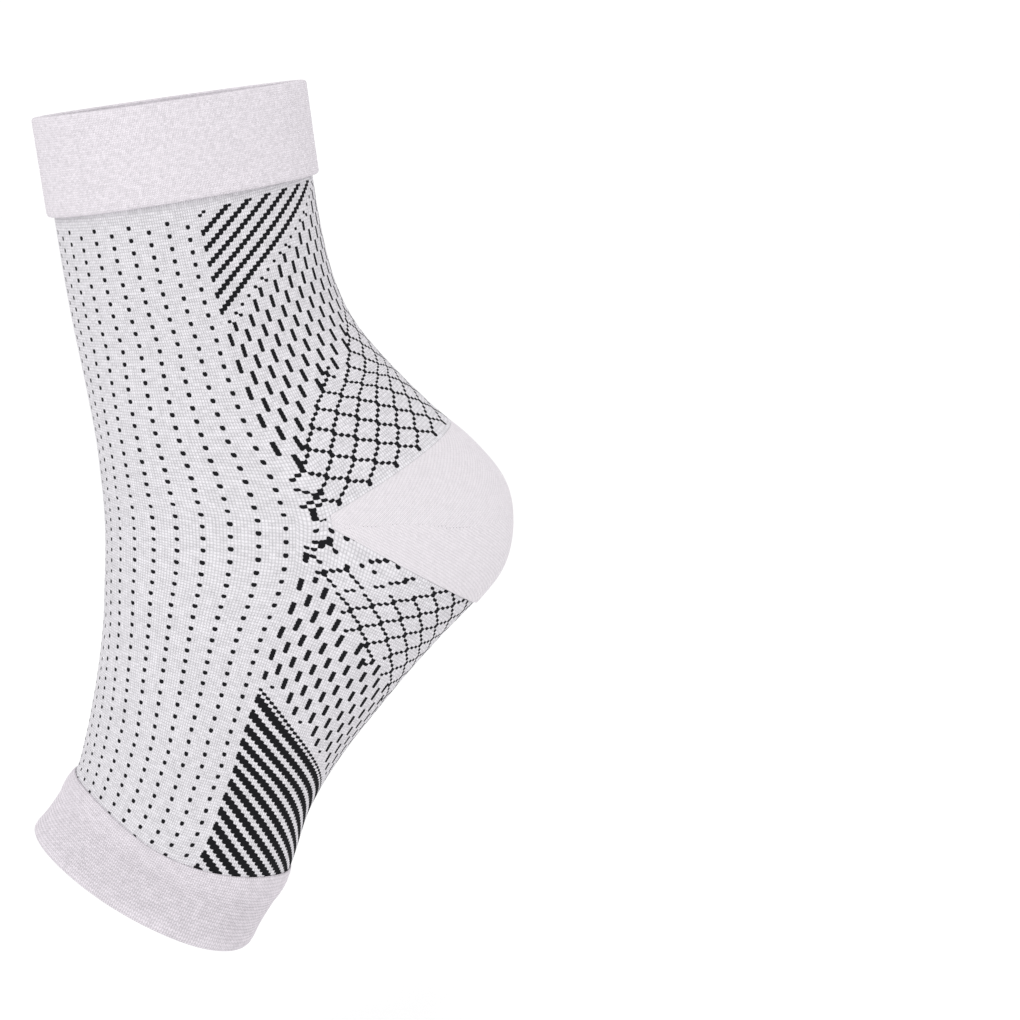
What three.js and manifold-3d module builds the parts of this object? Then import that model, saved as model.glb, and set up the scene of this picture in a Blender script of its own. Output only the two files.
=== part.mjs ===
// An ankle compression sock, open at the toes, in the shape that it has when worn.
// Lengths are millimetres and angles degrees. +Z is up, the heel points to +X and the toes
// to -X. The origin is the middle of the ankle, inside the sock, level with the heel's back.

import * as THREE from "three";
import { ParametricGeometry } from "three/addons/geometries/ParametricGeometry.js";
import { mergeVertices } from "three/addons/utils/BufferGeometryUtils.js";
import Module from "manifold-3d";

// Sizes of the tube, measured on its outer face
const LEG_RISE = 117; // ankle up to the top opening, along the front
const LEG_DEPTH = 73.5; // leg, front to back
const LEG_WIDTH = 60;
const INSTEP_REACH = 45; // ankle's middle forward to the bend of the instep
const ANKLE_DEPTH = 119; // bend of the instep to the back of the heel
const ANKLE_WIDTH = 68;
const FOOT_DROP = 88.5; // ankle down to the toe opening, along the front
const FOOT_DEPTH = 68; // sole to the top of the foot
const FOOT_WIDTH = 84;
const SQUARENESS = 2.15; // 2 makes the sections elliptical, more makes them squarer

// Sizes of the pieces
const WALL = 1.2; // single knit
const CUFF_HEIGHT = 27.5; // upright, at its front
const CUFF_WALL = 2.6; // folded double
const CUFF_PROUD = 2; // how far the cuff stands out of the body
const CUFF_LAP = 4; // how far the cuff hangs over the body's top
const BAND_RISE = 17; // upright height of the toe band at its front
const BAND_WALL = 2;
const BAND_PROUD = 0.6; // how far the band's hem stands out of the body
const EDGE_ROUND = 0.8; // largest radius on the welts' edges
const HEEL_CORNER_X = 12.5; // where the two seams of the heel meet, on each side
const HEEL_CORNER_Z = 6.5;
const HEEL_TOP_ANGLE = 28; // the upper seam's rise toward the back
const HEEL_SOLE_ANGLE = 31; // the lower seam's fall toward the back
const GAP = 0.3; // clearance between pieces that touch

// Fineness of the mesh
const AROUND = 60;
const LEG_ROWS = 13;
const FOOT_ROWS = 11;
const CROWDING = 1.3; // more than 1 crowds the rows toward the ankle
const WELT_ROWS = 3;
const ARC_STEPS = 2;

// Sections of the leg, from the ankle up. rise and lean place the front point as shares of
// LEG_RISE, lean being forward. deepen and widen go from 0 at the leg's size to 1 at the
// ankle's. tilt lifts the back, in degrees, and taper narrows it.
const LEG_SECTIONS = [
  { rise: 0.0, lean: 0.0, deepen: 1.0, widen: 1.0, tilt: 0, taper: 0.14 },
  { rise: 0.063, lean: 0.002, deepen: 0.95, widen: 1.0, tilt: 2, taper: 0.14 },
  { rise: 0.137, lean: 0.008, deepen: 0.76, widen: 0.96, tilt: 4, taper: 0.14 },
  { rise: 0.211, lean: 0.015, deepen: 0.52, widen: 0.85, tilt: 5.5, taper: 0.14 },
  { rise: 0.297, lean: 0.028, deepen: 0.295, widen: 0.6, tilt: 7.5, taper: 0.13 },
  { rise: 0.395, lean: 0.045, deepen: 0.125, widen: 0.3, tilt: 8.5, taper: 0.11 },
  { rise: 0.504, lean: 0.065, deepen: 0.045, widen: 0.1, tilt: 8, taper: 0.09 },
  { rise: 0.625, lean: 0.084, deepen: 0.01, widen: 0.0, tilt: 8, taper: 0.07 },
  { rise: 0.752, lean: 0.101, deepen: 0.0, widen: 0.0, tilt: 9, taper: 0.05 },
  { rise: 1.0, lean: 0.134, deepen: 0.0, widen: 0.05, tilt: 8, taper: 0.04 },
];

// Sections of the foot, from the ankle down, as shares of FOOT_DROP and of the way from the
// foot's size to the ankle's. dip lowers the sides, as a share of FOOT_DEPTH.
const FOOT_SECTIONS = [
  { drop: 0.081, lean: 0.001, deepen: 0.958, widen: 1.0, tilt: -2.5, taper: 0.13, dip: 0.0 },
  { drop: 0.18, lean: 0.006, deepen: 0.82, widen: 1.0, tilt: -3.5, taper: 0.11, dip: 0.0 },
  { drop: 0.295, lean: 0.012, deepen: 0.59, widen: 0.98, tilt: -5, taper: 0.08, dip: 0.0 },
  { drop: 0.428, lean: 0.028, deepen: 0.357, widen: 0.95, tilt: -7.5, taper: 0.04, dip: 0.0 },
  { drop: 0.561, lean: 0.051, deepen: 0.13, widen: 0.88, tilt: -13, taper: 0.0, dip: 0.0 },
  { drop: 0.693, lean: 0.08, deepen: 0.0, widen: 0.7, tilt: -18.5, taper: -0.04, dip: 0.005 },
  { drop: 0.812, lean: 0.118, deepen: -0.01, widen: 0.42, tilt: -25, taper: -0.07, dip: 0.02 },
  { drop: 1.0, lean: 0.25, deepen: -0.005, widen: 0.0, tilt: -27, taper: -0.14, dip: 0.04 },
];

const radians = THREE.MathUtils.degToRad;
const mix = THREE.MathUtils.lerp;

// The sections in millimetres, from the toes up to the top opening.
const SECTIONS = [
  ...FOOT_SECTIONS.map((row) => ({
    z: -row.drop * FOOT_DROP,
    x: -INSTEP_REACH - row.lean * FOOT_DROP,
    depth: mix(FOOT_DEPTH, ANKLE_DEPTH, row.deepen),
    width: mix(FOOT_WIDTH, ANKLE_WIDTH, row.widen),
    tilt: radians(row.tilt),
    taper: row.taper,
    dip: row.dip * FOOT_DEPTH,
  })).reverse(),
  ...LEG_SECTIONS.map((row) => ({
    z: row.rise * LEG_RISE,
    x: -INSTEP_REACH - row.lean * LEG_RISE,
    depth: mix(LEG_DEPTH, ANKLE_DEPTH, row.deepen),
    width: mix(LEG_WIDTH, ANKLE_WIDTH, row.widen),
    tilt: radians(row.tilt),
    taper: row.taper,
    dip: 0,
  })),
];

// The slope of one column of the sections at one row, from the rows beside it.
function slope(row, key) {
  const below = SECTIONS[Math.max(row - 1, 0)];
  const above = SECTIONS[Math.min(row + 1, SECTIONS.length - 1)];
  return (above[key] - below[key]) / (above.z - below.z);
}

// One column of the sections at any height z of the front line, on a smooth curve.
function between(z, key) {
  let row = 0;
  while (row < SECTIONS.length - 2 && z > SECTIONS[row + 1].z) row += 1;
  const span = SECTIONS[row + 1].z - SECTIONS[row].z;
  const t = (z - SECTIONS[row].z) / span;
  const rise = t * t * (3 - 2 * t);
  return (
    mix(SECTIONS[row][key], SECTIONS[row + 1][key], rise) +
    span * slope(row, key) * t * (1 - t) ** 2 -
    span * slope(row + 1, key) * t * t * (1 - t)
  );
}

// The point of the tube's outer face at height z of the front line. angle is 0 at the front
// and 180 degrees at the back.
function facePoint(z, angle) {
  const cosine = Math.cos(angle);
  const sine = Math.sin(angle);
  const round =
    (Math.abs(cosine) ** SQUARENESS + Math.abs(sine) ** SQUARENESS) ** (-1 / SQUARENESS);
  const reach = (between(z, "depth") / 2) * (1 - round * cosine);
  const side = (between(z, "width") / 2) * round * sine;
  const tilt = between(z, "tilt");
  return new THREE.Vector3(
    between(z, "x") + reach * Math.cos(tilt),
    -side * (1 + between(z, "taper") * round * cosine),
    z + reach * Math.sin(tilt) - between(z, "dip") * (round * sine) ** 2,
  );
}

// A point that lies a distance out of the tube's outer face, or inside it where negative.
function skinPoint(z, angle, out) {
  const step = 1e-3;
  const around = facePoint(z, angle + step).sub(facePoint(z, angle - step));
  const along = facePoint(z + step, angle).sub(facePoint(z - step, angle));
  const normal = around.cross(along).normalize();
  return facePoint(z, angle).addScaledVector(normal, out);
}

// A closed ring round the tube, from a closed outline whose x is the distance out of the
// tube's outer face and whose y is the height z of the front line.
function ringGeometry(outline) {
  const place = (u, v, target) => {
    const { x: out, y: z } = outline[Math.round(v * outline.length) % outline.length];
    const turn = Math.round((1 - u) * AROUND) % AROUND;
    target.copy(skinPoint(z, (turn * 2 * Math.PI) / AROUND, out));
  };
  return new ParametricGeometry(place, AROUND, outline.length);
}

const wasm = await Module();
wasm.setup();

// A closed geometry with its shared vertices merged, as a solid.
function solidOf(geometry) {
  geometry.deleteAttribute("normal");
  geometry.deleteAttribute("uv");
  const merged = mergeVertices(geometry);
  return new wasm.Manifold(
    new wasm.Mesh({
      numProp: 3,
      vertProperties: merged.attributes.position.array,
      triVerts: new Uint32Array(merged.index.array),
    }),
  );
}

// A solid as a flat-shaded geometry.
function geometryOf(solid) {
  const { vertProperties, triVerts } = solid.getMesh();
  const geometry = new THREE.BufferGeometry();
  geometry.setAttribute("position", new THREE.BufferAttribute(vertProperties, 3));
  geometry.setIndex(new THREE.BufferAttribute(triVerts, 1));
  const flat = geometry.toNonIndexed();
  flat.computeVertexNormals();
  return flat;
}

// The tube of single knit from under the cuff to the toe band, with the heel still in it.
function bodySolid() {
  const top = LEG_RISE - CUFF_HEIGHT + CUFF_LAP;
  const bottom = BAND_RISE + GAP - FOOT_DROP;
  const heights = [];
  for (let row = LEG_ROWS; row > 0; row -= 1) heights.push(top * (row / LEG_ROWS) ** CROWDING);
  for (let row = 0; row <= FOOT_ROWS; row += 1) heights.push(bottom * (row / FOOT_ROWS) ** CROWDING);
  const outline = [
    ...heights.map((z) => new THREE.Vector2(0, z)),
    ...heights.reverse().map((z) => new THREE.Vector2(-WALL, z)),
  ];
  return solidOf(ringGeometry(outline));
}

// A prism through the tube behind the two heel seams, grown by a margin on each seam.
function heelCutter(margin) {
  const opening = radians(HEEL_TOP_ANGLE + HEEL_SOLE_ANGLE);
  const middle = radians(HEEL_TOP_ANGLE - HEEL_SOLE_ANGLE) / 2;
  const back = margin / Math.sin(opening / 2);
  const cornerX = HEEL_CORNER_X - back * Math.cos(middle);
  const cornerZ = HEEL_CORNER_Z - back * Math.sin(middle);
  const reach = 2 * ANKLE_DEPTH;
  const wedge = new THREE.Shape();
  wedge.moveTo(cornerX, cornerZ);
  wedge.lineTo(cornerX + reach, cornerZ - reach * Math.tan(radians(HEEL_SOLE_ANGLE)));
  wedge.lineTo(cornerX + reach, cornerZ + reach * Math.tan(radians(HEEL_TOP_ANGLE)));
  wedge.closePath();
  const prism = new THREE.ExtrudeGeometry(wedge, { depth: 2 * ANKLE_WIDTH, bevelEnabled: false });
  prism.translate(0, 0, -ANKLE_WIDTH);
  prism.rotateX(Math.PI / 2);
  return solidOf(prism);
}

// The folded welt at the top, with a step inside its lower edge for the body's top.
function cuffGeometry() {
  const low = LEG_RISE - CUFF_HEIGHT;
  const step = low + CUFF_LAP + GAP;
  const inner = CUFF_PROUD - CUFF_WALL;
  const round = Math.min(EDGE_ROUND, (CUFF_PROUD - GAP) / 2, CUFF_WALL / 2);
  const outline = new THREE.Shape();
  outline.moveTo(CUFF_PROUD, LEG_RISE - round);
  for (let row = 1; row < WELT_ROWS; row += 1)
    outline.lineTo(CUFF_PROUD, mix(LEG_RISE - round, low + round, row / WELT_ROWS));
  outline.lineTo(CUFF_PROUD, low + round);
  outline.absarc(CUFF_PROUD - round, low + round, round, 0, -Math.PI / 2, true);
  outline.lineTo(GAP, low);
  outline.lineTo(GAP, step);
  outline.lineTo(inner, step);
  for (let row = 1; row < WELT_ROWS; row += 1)
    outline.lineTo(inner, mix(step, LEG_RISE - round, row / WELT_ROWS));
  outline.lineTo(inner, LEG_RISE - round);
  outline.absarc(inner + round, LEG_RISE - round, round, Math.PI, Math.PI / 2, true);
  outline.absarc(CUFF_PROUD - round, LEG_RISE - round, round, Math.PI / 2, 0, true);
  return ringGeometry(cornersOf(outline));
}

// The ribbed welt at the toe opening, flush with the body at its top and proud at its hem.
function bandGeometry() {
  const high = BAND_RISE - FOOT_DROP;
  const round = Math.min(EDGE_ROUND, BAND_WALL / 2);
  const inner = -WALL;
  const hem = inner + BAND_WALL;
  const outline = new THREE.Shape();
  outline.moveTo(0, high);
  for (let row = 1; row < WELT_ROWS; row += 1)
    outline.lineTo(mix(0, BAND_PROUD, row / WELT_ROWS), mix(high, round - FOOT_DROP, row / WELT_ROWS));
  outline.lineTo(hem, round - FOOT_DROP);
  outline.absarc(hem - round, round - FOOT_DROP, round, 0, -Math.PI / 2, true);
  outline.absarc(inner + round, round - FOOT_DROP, round, -Math.PI / 2, -Math.PI, true);
  for (let row = 1; row < WELT_ROWS; row += 1)
    outline.lineTo(inner, mix(round - FOOT_DROP, high, row / WELT_ROWS));
  outline.lineTo(inner, high);
  outline.closePath();
  return ringGeometry(cornersOf(outline));
}

// The corners of a closed outline, each written once.
function cornersOf(outline) {
  const corners = outline.getPoints(ARC_STEPS);
  if (corners[0].distanceTo(corners[corners.length - 1]) < 1e-6) corners.pop();
  return corners;
}

// Undyed yarn of one shade.
function yarn(color) {
  return new THREE.MeshStandardMaterial({ color, roughness: 0.9, metalness: 0 });
}

function piece(name, geometry, color) {
  const mesh = new THREE.Mesh(geometry, yarn(color));
  mesh.name = name;
  return mesh;
}

const tube = bodySolid();
const sock = new THREE.Group();
sock.name = "compression_sock";
sock.add(
  piece("top_cuff", geometryOf(solidOf(cuffGeometry())), 0xebe5ec),
  piece("knit_body", geometryOf(tube.subtract(heelCutter(GAP))), 0xe1dfe3),
  piece("heel_pocket", geometryOf(tube.intersect(heelCutter(0))), 0xebe5eb),
  piece("toe_band", geometryOf(solidOf(bandGeometry())), 0xdbd6dd),
);

export default sock;
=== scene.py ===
import bmesh
import bpy
import numpy as np
from bpy.props import FloatProperty, FloatVectorProperty, IntProperty, PointerProperty
from bpy.types import Operator, Panel, PropertyGroup
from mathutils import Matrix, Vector


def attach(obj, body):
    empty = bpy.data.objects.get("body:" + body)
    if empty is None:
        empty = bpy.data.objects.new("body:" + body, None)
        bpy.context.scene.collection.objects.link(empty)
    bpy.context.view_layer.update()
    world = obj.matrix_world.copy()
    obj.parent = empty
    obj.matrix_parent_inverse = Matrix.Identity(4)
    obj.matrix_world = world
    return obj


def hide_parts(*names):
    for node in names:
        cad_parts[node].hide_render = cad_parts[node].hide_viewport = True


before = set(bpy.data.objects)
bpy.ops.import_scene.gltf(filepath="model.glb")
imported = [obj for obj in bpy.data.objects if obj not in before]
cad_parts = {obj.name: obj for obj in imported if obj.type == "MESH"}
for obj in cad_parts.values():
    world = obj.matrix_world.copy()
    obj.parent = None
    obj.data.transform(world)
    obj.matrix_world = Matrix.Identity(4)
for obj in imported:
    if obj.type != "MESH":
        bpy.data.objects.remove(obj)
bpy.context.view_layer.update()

bl_info = {
    "name": "Compression Sock",
    "version": (1, 0, 0),
    "blender": (4, 5, 0),
    "location": "3D View > Sidebar > Sock",
    "description": "Knits the body, heel pocket, cuff and toe band of an open-toe compression sock",
    "category": "Object",
}

MM = 0.001

# The worn shape in millimetres: a tube round a front line that runs down the shin and over
# the instep, the same as in the solid model.
LEG_RISE, LEG_DEPTH, LEG_WIDTH = 117.0, 73.5, 60.0
INSTEP_REACH, ANKLE_DEPTH, ANKLE_WIDTH = 45.0, 119.0, 68.0
FOOT_DROP, FOOT_DEPTH, FOOT_WIDTH = 88.5, 68.0, 84.0
SQUARENESS = 2.15  # 2 makes the sections elliptical, more makes them squarer
WALL = 1.2

# rise and lean of the front line, as shares of LEG_RISE; deepen and widen, from the leg's
# size at 0 to the ankle's at 1; tilt in degrees, which raises the back; taper, which makes
# the front wider.
LEG_SECTIONS = [
    (0.0, 0.0, 1.0, 1.0, 0.0, 0.14),
    (0.063, 0.002, 0.95, 1.0, 2.0, 0.14),
    (0.137, 0.008, 0.76, 0.96, 4.0, 0.14),
    (0.211, 0.015, 0.52, 0.85, 5.5, 0.14),
    (0.297, 0.028, 0.295, 0.6, 7.5, 0.13),
    (0.395, 0.045, 0.125, 0.3, 8.5, 0.11),
    (0.504, 0.065, 0.045, 0.1, 8.0, 0.09),
    (0.625, 0.084, 0.01, 0.0, 8.0, 0.07),
    (0.752, 0.101, 0.0, 0.0, 9.0, 0.05),
    (1.0, 0.134, 0.0, 0.05, 8.0, 0.04),
]

# The same below the ankle, with drop and lean as shares of FOOT_DROP; dip is how far the
# sides hang, as a share of FOOT_DEPTH.
FOOT_SECTIONS = [
    (0.081, 0.001, 0.958, 1.0, -2.5, 0.13, 0.0),
    (0.18, 0.006, 0.82, 1.0, -3.5, 0.11, 0.0),
    (0.295, 0.012, 0.59, 0.98, -5.0, 0.08, 0.0),
    (0.428, 0.028, 0.357, 0.95, -7.5, 0.04, 0.0),
    (0.561, 0.051, 0.13, 0.88, -13.0, 0.0, 0.0),
    (0.693, 0.08, 0.0, 0.7, -18.5, -0.04, 0.005),
    (0.812, 0.118, -0.01, 0.42, -25.0, -0.07, 0.02),
    (1.0, 0.25, -0.005, 0.0, -27.0, -0.14, 0.04),
]

# Black stitches where the diamonds of the leg and the foot meet: wales past the dotted
# front, and courses.
KNOT = [
    (4, 89), (3, 90), (3, 92), (2, 93), (2, 94), (2, 95), (3, 96), (4, 98),
    (4, 100), (3, 101), (2, 101), (1, 103), (1, 106), (2, 105), (3, 106),
]

# The knit of one side, by course from the cuff down. front, mid, near and side are the
# heights of a course at 0, 0.5, 0.85 and 1 of the way from the front wale to the side
# wale; turn is where the side wale lies, in percent of the way round to the back; crowd
# shifts the front wales; drift is how the back wales follow the heel's seams; spread
# widens the wales beside the side wale; lead pushes them back, in percent.
COURSES = [
    (0, 89.7, 89.4, 88.8, 88.7, 49.0, -0.04, 0.17, 0.1, 0.0),
    (25, 69.1, 68.85, 68.3, 68.3, 49.9, 0.08, 0.2, 0.12, 0.0),
    (45, 52.9, 52.1, 50.6, 50.1, 50.3, 0.16, 0.22, 0.15, 0.0),
    (55, 44.6, 43.6, 41.9, 40.8, 49.2, 0.08, 0.27, 0.15, 0.2),
    (65, 36.2, 35.15, 33.1, 32.2, 47.9, 0.0, 0.36, 0.15, 0.3),
    (75, 28.3, 27.0, 24.5, 23.5, 46.7, -0.09, 0.7, 0.15, 0.5),
    (85, 20.4, 18.8, 15.8, 14.2, 45.7, -0.17, 0.93, 0.15, 0.8),
    (94, 13.9, 12.1, 8.6, 7.5, 45.0, -0.24, 1.0, 0.15, 1.1),
    (96, 12.4, 10.6, 7.1, 6.1, 45.0, -0.24, 1.0, 0.15, 1.1),
    (97, 11.6, 9.8, 6.3, 5.3, 45.0, -0.25, 0.74, 0.3, 1.1),
    (103, 7.1, 5.2, 1.6, 0.6, 44.7, -0.28, 0.68, 0.35, 0.3),
    (115, -1.4, -3.5, -7.4, -8.1, 44.6, -0.3, 0.61, 0.38, 0.0),
    (123, -7.3, -9.3, -13.3, -14.5, 44.8, -0.29, 0.54, 0.4, 0.0),
    (131, -13.0, -15.2, -19.2, -20.9, 44.9, -0.27, 0.49, 0.4, 0.0),
    (139, -19.1, -21.3, -25.1, -26.5, 45.5, -0.2, 0.44, 0.38, 0.0),
    (147, -25.3, -27.3, -30.9, -32.3, 46.3, -0.14, 0.36, 0.35, 0.0),
    (161, -36.2, -37.7, -40.3, -42.3, 47.8, -0.02, 0.19, 0.3, 0.0),
    (181, -50.5, -51.6, -54.0, -54.2, 50.2, 0.23, 0.1, 0.28, 0.0),
    (197, -61.5, -62.3, -64.1, -63.7, 50.1, 0.28, 0.05, 0.25, 0.0),
    (212, -70.8, -71.5, -72.8, -71.9, 48.4, 0.2, 0.0, 0.2, 0.0),
    (216, -73.4, -74.1, -75.2, -74.4, 48.1, 0.2, 0.0, 0.2, 0.0),
]

HALF_WALES = 84  # from the front wale to the back wale
SIDE_WALE = 39.5
BACK_WALES = HALF_WALES - SIDE_WALE
FRONT_WALES = 40  # on each side, with dots; the stripes and diamonds start past them
LAST_COURSE = 216
BAND_COURSE = 212  # whose wales the toe band carries on
HEEL_TOP_COURSE = 96  # last course above the heel
HEEL_SOLE_COURSE = 97  # first course below it
HEEL_WALE = 44  # where the heel opening starts, on each side
HEEL_CORNER = (12.5, 6.5)  # x and z where its two seams meet
HEEL_TOP_SLOPE = float(np.tan(np.radians(28)))
HEEL_SOLE_SLOPE = float(-np.tan(np.radians(31)))
GORE_HEIGHT = 0.7  # z of the line along the heel's middle
SEAM_GAP = 0.12  # least front height between the two seams
SIDE_HEIGHTS = {row[0]: row[4] for row in COURSES}
DRIFTS = {row[0]: row[7] for row in COURSES}
LEAD_WALES = 2.6  # how soon the lead behind the side wale is reached
SEAM_EASE = 0.08  # share of the back wales in which the courses bend along the seams
FADE_ABOVE = 3.0  # courses in which they stop following the upper seam
FADE_BELOW = 5.0  # and the lower one

# How the stitches lie, in millimetres where nothing else is said
STITCH_TIP = 0.06  # half of what a wale's middle hangs below its furrows, in courses
DOT_PRESS = 0.2  # how far a black dot presses the lines beside it apart, in courses
BODY_TOP = 93.7  # front height of the body's upper rim, which is tucked under the cuff
BODY_END = -76.2  # the same of its lower rim, inside the toe band
MERGE = 2e-6  # metres

# How black yarn fills the corners of a stitch
LEAST_BLACK = 0.3  # a stitch with more counts as a black neighbour
CORNER_FILLS = (0.0, 0.15, 0.85, 1.0)  # by how many of a corner's neighbours are black
LONE_ACROSS = 0.7  # where only the one across the corner is
ENDS = (0.3, 1.0)  # at the middle of a stitch's end, without and with a black one past it
WEAK_LOSS = 0.6  # how much emptier a stitch gets as its black goes to nothing

# The heel pocket
HEEL_GRID = (240, 48)
HEEL_START = 51.8  # percent of the way round where it starts on each side
HEEL_INSET = 0.02  # how far its edges stay from the body's, in front height
GORE_BEND = 2.2  # how far the front half of the gore bows up
GORE_ROOM = 0.35  # least share of the pocket's height on each side of the gore
GORE_DOTS_END = 0.62  # share of the way to the back where its dots end
HEEL_EDGE = 0.5  # width of the pocket's edge, which dips by HEEL_EDGE_DIP
HEEL_EDGE_DIP = 0.01
HALF_ROUND = 164.0  # length of the way from the front to the back
UPPER_SLANT, LOWER_SLANT = 54, 63  # of its wales, in degrees
HEEL_STITCH = (0.96, 0.8)  # width and height
SHARP = 0.9  # an edge with a larger angle, in radians, stays sharp

# The welts
CUFF_LOW = 89.5  # front height of its lip
CUFF_STEP = (94.2, 93.9)  # where its inner face ends, and where it meets the body
SAG_FROM = 8.5  # height above the lowest point from which the upper edge sags
SAG_MIDDLE, SAG_REACH = 0.42, 0.34  # of the way round: its deepest place and its reach

# The yarn
LEG_SHARPNESS, LOOP_SHARPNESS = 0.7, 0.5  # powers; less makes the furrows narrower
DOT_NARROWS, DOT_SHORTENS = 3.8, 2.4  # how soon black thins out from a stitch's middle
BLACK_EDGE = (0.2, 0.34)  # levels where black starts and is full
HEATHER_GAIN = 1.6  # its noise seldom nears 1
FIBRE_DEPTH = 0.35  # of the fibres, against the stitches' depth

# The studio, in metres and degrees
FLOOR_HEIGHT = -0.2
FLOOR_REACH = 6.0
DAYLIGHT = 1.08
CAMERA_PLACE = (-0.10243, -0.7460, 0.12563)
CAMERA_TILT, CAMERA_TURN = 80.8, -13.3
CAMERA_LENS = 92.47  # millimetres


def sections():
    """z, x, depth, width, tilt, taper and dip of every section, from the toes up."""
    rows = []
    for drop, lean, deepen, widen, tilt, taper, dip in reversed(FOOT_SECTIONS):
        rows.append((
            -drop * FOOT_DROP,
            -INSTEP_REACH - lean * FOOT_DROP,
            FOOT_DEPTH + (ANKLE_DEPTH - FOOT_DEPTH) * deepen,
            FOOT_WIDTH + (ANKLE_WIDTH - FOOT_WIDTH) * widen,
            np.radians(tilt),
            taper,
            dip * FOOT_DEPTH,
        ))
    for rise, lean, deepen, widen, tilt, taper in LEG_SECTIONS:
        rows.append((
            rise * LEG_RISE,
            -INSTEP_REACH - lean * LEG_RISE,
            LEG_DEPTH + (ANKLE_DEPTH - LEG_DEPTH) * deepen,
            LEG_WIDTH + (ANKLE_WIDTH - LEG_WIDTH) * widen,
            np.radians(tilt),
            taper,
            0.0,
        ))
    return np.array(rows)


SECTIONS = sections()


def between(z):
    """The sections at heights z of the front line, on smooth curves."""
    heights = SECTIONS[:, 0]
    last = len(heights) - 1
    row = np.clip(np.searchsorted(heights, z, side="left") - 1, 0, last - 1)
    below = np.maximum(np.arange(last + 1) - 1, 0)
    above = np.minimum(np.arange(last + 1) + 1, last)
    slope = (SECTIONS[above] - SECTIONS[below]) / (heights[above] - heights[below])[:, None]
    span = heights[row + 1] - heights[row]
    t = (z - heights[row]) / span
    rise = (t * t * (3 - 2 * t))[:, None]
    bend_in = (span * t * (1 - t) ** 2)[:, None]
    bend_out = (span * t * t * (1 - t))[:, None]
    value = SECTIONS[row] * (1 - rise) + SECTIONS[row + 1] * rise
    return value + bend_in * slope[row] - bend_out * slope[row + 1]


def face_point(z, angle):
    """Points of the worn outer face; angle is 0 at the front and pi at the back."""
    z, angle = np.broadcast_arrays(np.asarray(z, float), np.asarray(angle, float))
    shape = z.shape
    z = z.ravel()
    angle = angle.ravel()
    x, depth, width, tilt, taper, dip = between(z)[:, 1:].T
    cosine = np.cos(angle)
    sine = np.sin(angle)
    size = (np.abs(cosine) ** SQUARENESS + np.abs(sine) ** SQUARENESS) ** (-1 / SQUARENESS)
    reach = depth / 2 * (1 - size * cosine)
    side = width / 2 * size * sine
    point = np.stack([
        x + reach * np.cos(tilt),
        -side * (1 + taper * size * cosine),
        z + reach * np.sin(tilt) - dip * (size * sine) ** 2,
    ], -1)
    return point.reshape(shape + (3,))


def skin_point(z, angle, out=0.0):
    """Points that lie a distance out of the outer face, or inside it where negative."""
    step = 1e-3
    around = face_point(z, angle + step) - face_point(z, angle - step)
    along = face_point(z + step, angle) - face_point(z - step, angle)
    normal = np.cross(around, along)
    normal /= np.linalg.norm(normal, axis=-1, keepdims=True)
    return face_point(z, angle) + normal * np.asarray(out, float)[..., None]


def turn_table():
    """Angles by height and by the share of the way round from the front to the back."""
    heights = np.arange(-90.0, 119.0)
    sweep = np.linspace(0, np.pi, 181)
    rows = []
    for z in heights:
        point = face_point(np.full(181, z), sweep)
        run = np.r_[0, np.cumsum(np.linalg.norm(np.diff(point, axis=0), axis=1))]
        rows.append(np.interp(np.linspace(0, 100, 101), run / run[-1] * 100, sweep))
    return heights, np.array(rows)


TURN_HEIGHTS, TURNS = turn_table()


def angle_at(z, turn):
    """The angle at a share of the way round, in percent, where z is the front height."""
    row = np.clip(z - TURN_HEIGHTS[0], 0, len(TURN_HEIGHTS) - 1.001)
    column = np.clip(turn, 0, 99.9999)
    i = row.astype(int)
    j = column.astype(int)
    a = row - i
    b = column - j
    upper = TURNS[i, j] * (1 - b) + TURNS[i, j + 1] * b
    lower = TURNS[i + 1, j] * (1 - b) + TURNS[i + 1, j + 1] * b
    return upper * (1 - a) + lower * a


def seam_height(turn, corner, slope):
    """Front heights where a plane that rises toward the back cuts the tube."""
    low = np.full(turn.shape, -60.0)
    high = np.full(turn.shape, 60.0)
    for _ in range(30):
        middle = (low + high) / 2
        point = face_point(middle, angle_at(middle, turn))
        over = point[..., 2] - corner[1] - slope * (point[..., 0] - corner[0])
        high = np.where(over > 0, middle, high)
        low = np.where(over > 0, low, middle)
    return (low + high) / 2


SEAM_TURNS = np.linspace(40, 100, 121)
SEAM_TOP = seam_height(SEAM_TURNS, HEEL_CORNER, HEEL_TOP_SLOPE)
SEAM_SOLE = seam_height(SEAM_TURNS, HEEL_CORNER, HEEL_SOLE_SLOPE)
SEAM_SOLE = np.minimum(SEAM_SOLE, SEAM_TOP - SEAM_GAP)
SEAM_GORE = seam_height(SEAM_TURNS, (HEEL_CORNER[0], GORE_HEIGHT), 0.0)


def seams(way):
    """Front heights of the heel's upper and lower seam, by percent of the way round."""
    return np.interp(way, SEAM_TURNS, SEAM_TOP), np.interp(way, SEAM_TURNS, SEAM_SOLE)


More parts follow.
